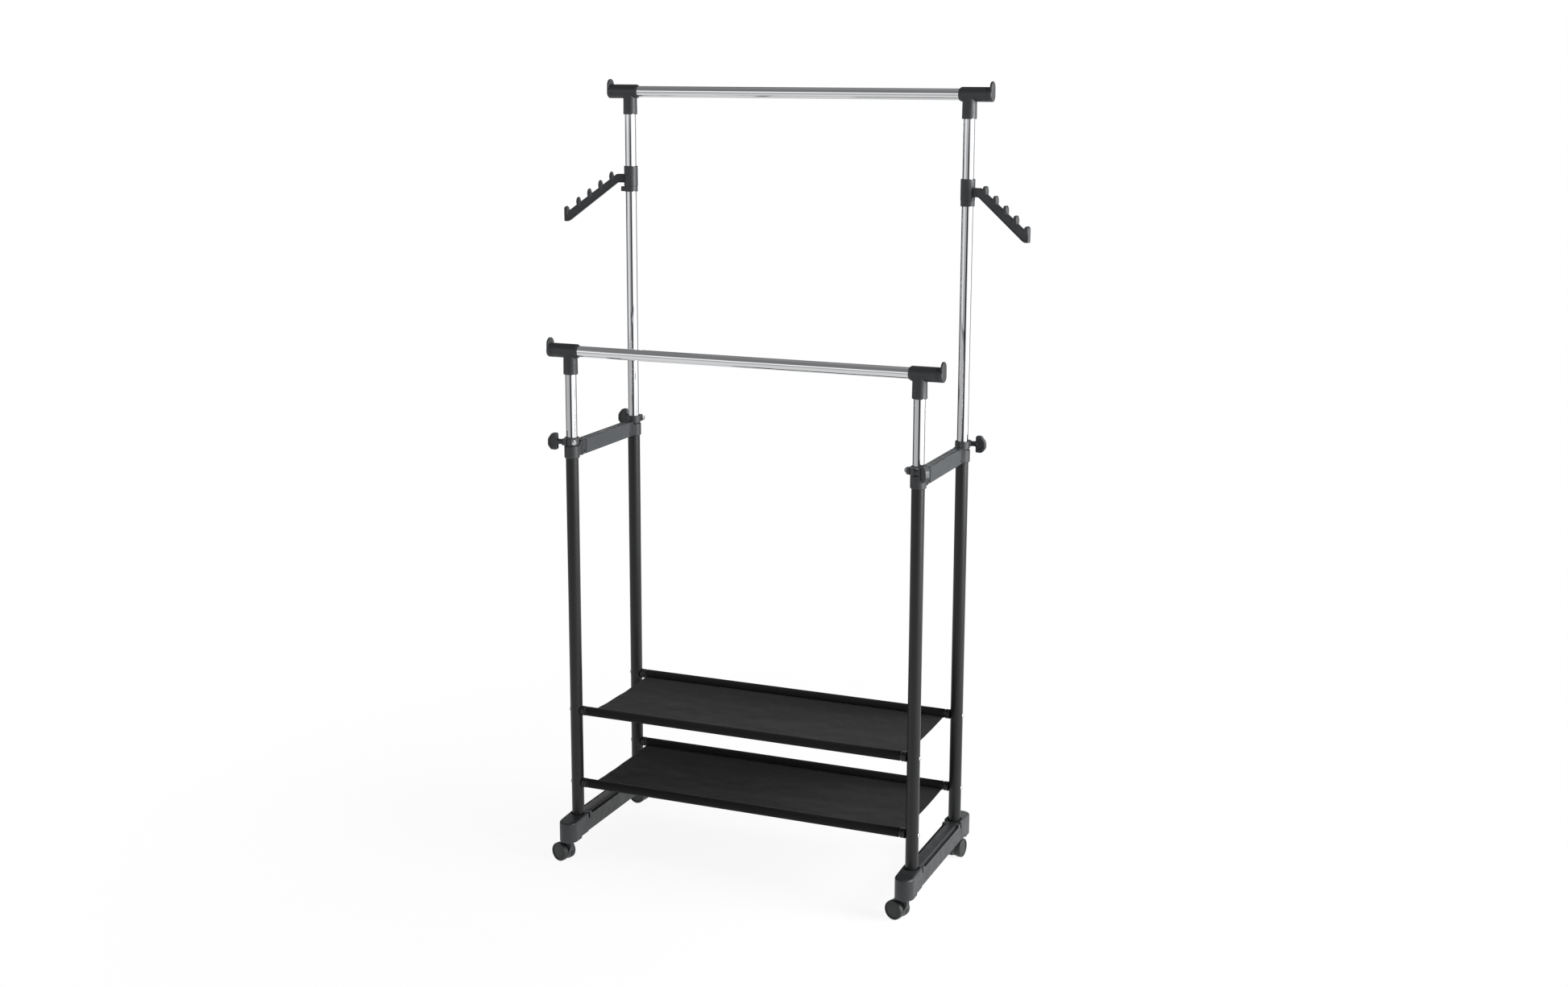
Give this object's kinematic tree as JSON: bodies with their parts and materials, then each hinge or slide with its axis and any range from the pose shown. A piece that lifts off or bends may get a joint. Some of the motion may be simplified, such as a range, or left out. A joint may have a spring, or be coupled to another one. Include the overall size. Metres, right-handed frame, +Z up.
{
  "type": "rolling clothes rack",
  "caption": "Rolling clothes rack: two telescopic rail frames of different height on one base with cross feet, swivelling casters, fabric shelves and swing-out hook arms.",
  "frame": {"origin": "on the floor under the middle of the rack", "axes": "+X to the rack's right as seen from the lower rail's side, +Y from the lower front rail to the taller back rail, +Z up"},
  "size_m": [0.9906, 0.388, 1.5655],
  "materials": {
    "black_plastic": "fine-grained moulded charcoal plastic",
    "caster_plastic": "matte moulded nylon",
    "black_paint": "satin black powder coat on steel tube",
    "chrome": "bright plated steel tube",
    "zinc": "zinc-plated steel",
    "black_fabric": "thin non-woven polypropylene cloth"
  },
  "bodies": {
    "base": {"foot_left": "black_plastic", "foot_right": "black_plastic", "lower_post_front_left": "black_paint", "bracket_collar_front_left": "black_plastic", "clamp_ring_front_left": "black_plastic", "clamp_nut_front_left": "zinc", "lower_post_front_right": "black_paint", "bracket_collar_front_right": "black_plastic", "clamp_ring_front_right": "black_plastic", "clamp_nut_front_right": "zinc", "lower_post_back_left": "black_paint", "bracket_collar_back_left": "black_plastic", "clamp_ring_back_left": "black_plastic", "clamp_nut_back_left": "zinc", "lower_post_back_right": "black_paint", "bracket_collar_back_right": "black_plastic", "clamp_ring_back_right": "black_plastic", "clamp_nut_back_right": "zinc", "bracket_beam_left": "black_plastic", "bracket_beam_right": "black_plastic", "shelf_rod_lower_front": "black_paint", "shelf_rod_lower_back": "black_paint", "shelf_fabric_lower": "black_fabric", "shelf_rod_upper_front": "black_paint", "shelf_rod_upper_back": "black_paint", "shelf_fabric_upper": "black_fabric"},
    "mast_front": {"rail_front": "chrome", "upper_post_front_left": "chrome", "upper_post_front_right": "chrome", "tee_front_left": "black_plastic", "tee_front_right": "black_plastic"},
    "mast_back": {"rail_back": "chrome", "upper_post_back_left": "chrome", "upper_post_back_right": "chrome", "tee_back_left": "black_plastic", "tee_back_right": "black_plastic"},
    "hook_mount_left": {"hook_ring_left": "black_plastic"},
    "hook_arm_left": {"hook_arm_left": "black_plastic"},
    "hook_mount_right": {"hook_ring_right": "black_plastic"},
    "hook_arm_right": {"hook_arm_right": "black_plastic"},
    "clamp_knob_front_left": {"clamp_knob_front_left": "black_plastic"},
    "clamp_knob_front_right": {"clamp_knob_front_right": "black_plastic"},
    "clamp_knob_back_left": {"clamp_knob_back_left": "black_plastic"},
    "clamp_knob_back_right": {"clamp_knob_back_right": "black_plastic"},
    "caster_front_left": {"caster_housing_front_left": "black_plastic", "caster_axle_front_left": "zinc"},
    "wheel_front_left_near": {"wheel_front_left_near": "caster_plastic"},
    "wheel_front_left_far": {"wheel_front_left_far": "caster_plastic"},
    "caster_front_right": {"caster_housing_front_right": "black_plastic", "caster_axle_front_right": "zinc"},
    "wheel_front_right_near": {"wheel_front_right_near": "caster_plastic"},
    "wheel_front_right_far": {"wheel_front_right_far": "caster_plastic"},
    "caster_back_left": {"caster_housing_back_left": "black_plastic", "caster_axle_back_left": "zinc"},
    "wheel_back_left_near": {"wheel_back_left_near": "caster_plastic"},
    "wheel_back_left_far": {"wheel_back_left_far": "caster_plastic"},
    "caster_back_right": {"caster_housing_back_right": "black_plastic", "caster_axle_back_right": "zinc"},
    "wheel_back_right_near": {"wheel_back_right_near": "caster_plastic"},
    "wheel_back_right_far": {"wheel_back_right_far": "caster_plastic"}
  },
  "joints": [
    {"name": "mast_front_height", "type": "slide", "parent": "base", "child": "mast_front", "axis": [0, 0, 1], "range_m": [-0.115, 0.36]},
    {"name": "mast_back_height", "type": "slide", "parent": "base", "child": "mast_back", "axis": [0, 0, 1], "range_m": [-0.3, 0.1]},
    {"name": "hook_height_left", "type": "slide", "parent": "mast_back", "child": "hook_mount_left", "axis": [0, 0, 1], "range_m": [-0.05, 0.1]},
    {"name": "hook_swing_left", "type": "hinge", "parent": "hook_mount_left", "child": "hook_arm_left", "pos_m": [-0.36, 0.135, 1.37], "axis": [0, 0, 1], "range_deg": [-105, 105]},
    {"name": "hook_height_right", "type": "slide", "parent": "mast_back", "child": "hook_mount_right", "axis": [0, 0, 1], "range_m": [-0.05, 0.1]},
    {"name": "hook_swing_right", "type": "hinge", "parent": "hook_mount_right", "child": "hook_arm_right", "pos_m": [0.36, 0.135, 1.37], "axis": [0, 0, 1], "range_deg": [-105, 105]},
    {"name": "clamp_screw_front_left", "type": "hinge", "parent": "base", "child": "clamp_knob_front_left", "pos_m": [-0.36, -0.1513, 0.86525], "axis": [-1, 0, 0], "range_deg": [0, 360]},
    {"name": "clamp_screw_front_right", "type": "hinge", "parent": "base", "child": "clamp_knob_front_right", "pos_m": [0.3521, -0.14926, 0.86525], "axis": [0.8746, -0.4848, 0], "range_deg": [0, 360]},
    {"name": "clamp_screw_back_left", "type": "hinge", "parent": "base", "child": "clamp_knob_back_left", "pos_m": [-0.36, 0.1513, 0.86525], "axis": [-1, 0, 0], "range_deg": [0, 360]},
    {"name": "clamp_screw_back_right", "type": "hinge", "parent": "base", "child": "clamp_knob_back_right", "pos_m": [0.36, 0.1513, 0.86525], "axis": [1, 0, 0], "range_deg": [0, 360]},
    {"name": "caster_swivel_front_left", "type": "hinge", "parent": "base", "child": "caster_front_left", "pos_m": [-0.36, -0.175, 0.0425], "axis": [0, 0, 1], "continuous": true},
    {"name": "wheel_spin_front_left_near", "type": "hinge", "parent": "caster_front_left", "child": "wheel_front_left_near", "pos_m": [-0.37578, -0.17018, 0.0192], "axis": [0.2924, 0.9563, 0], "continuous": true},
    {"name": "wheel_spin_front_left_far", "type": "hinge", "parent": "caster_front_left", "child": "wheel_front_left_far", "pos_m": [-0.37578, -0.17018, 0.0192], "axis": [0.2924, 0.9563, 0], "continuous": true},
    {"name": "caster_swivel_front_right", "type": "hinge", "parent": "base", "child": "caster_front_right", "pos_m": [0.36, -0.175, 0.0425], "axis": [0, 0, 1], "continuous": true},
    {"name": "wheel_spin_front_right_near", "type": "hinge", "parent": "caster_front_right", "child": "wheel_front_right_near", "pos_m": [0.34422, -0.17018, 0.0192], "axis": [0.2924, 0.9563, 0], "continuous": true},
    {"name": "wheel_spin_front_right_far", "type": "hinge", "parent": "caster_front_right", "child": "wheel_front_right_far", "pos_m": [0.34422, -0.17018, 0.0192], "axis": [0.2924, 0.9563, 0], "continuous": true},
    {"name": "caster_swivel_back_left", "type": "hinge", "parent": "base", "child": "caster_back_left", "pos_m": [-0.36, 0.175, 0.0425], "axis": [0, 0, 1], "continuous": true},
    {"name": "wheel_spin_back_left_near", "type": "hinge", "parent": "caster_back_left", "child": "wheel_back_left_near", "pos_m": [-0.37644, 0.17644, 0.0192], "axis": [0.0872, 0.9962, 0], "continuous": true},
    {"name": "wheel_spin_back_left_far", "type": "hinge", "parent": "caster_back_left", "child": "wheel_back_left_far", "pos_m": [-0.37644, 0.17644, 0.0192], "axis": [0.0872, 0.9962, 0], "continuous": true},
    {"name": "caster_swivel_back_right", "type": "hinge", "parent": "base", "child": "caster_back_right", "pos_m": [0.36, 0.175, 0.0425], "axis": [0, 0, 1], "continuous": true},
    {"name": "wheel_spin_back_right_near", "type": "hinge", "parent": "caster_back_right", "child": "wheel_back_right_near", "pos_m": [0.35828, 0.15859, 0.0192], "axis": [-0.9945, 0.1045, 0], "continuous": true},
    {"name": "wheel_spin_back_right_far", "type": "hinge", "parent": "caster_back_right", "child": "wheel_back_right_far", "pos_m": [0.35828, 0.15859, 0.0192], "axis": [-0.9945, 0.1045, 0], "continuous": true}
  ]
}
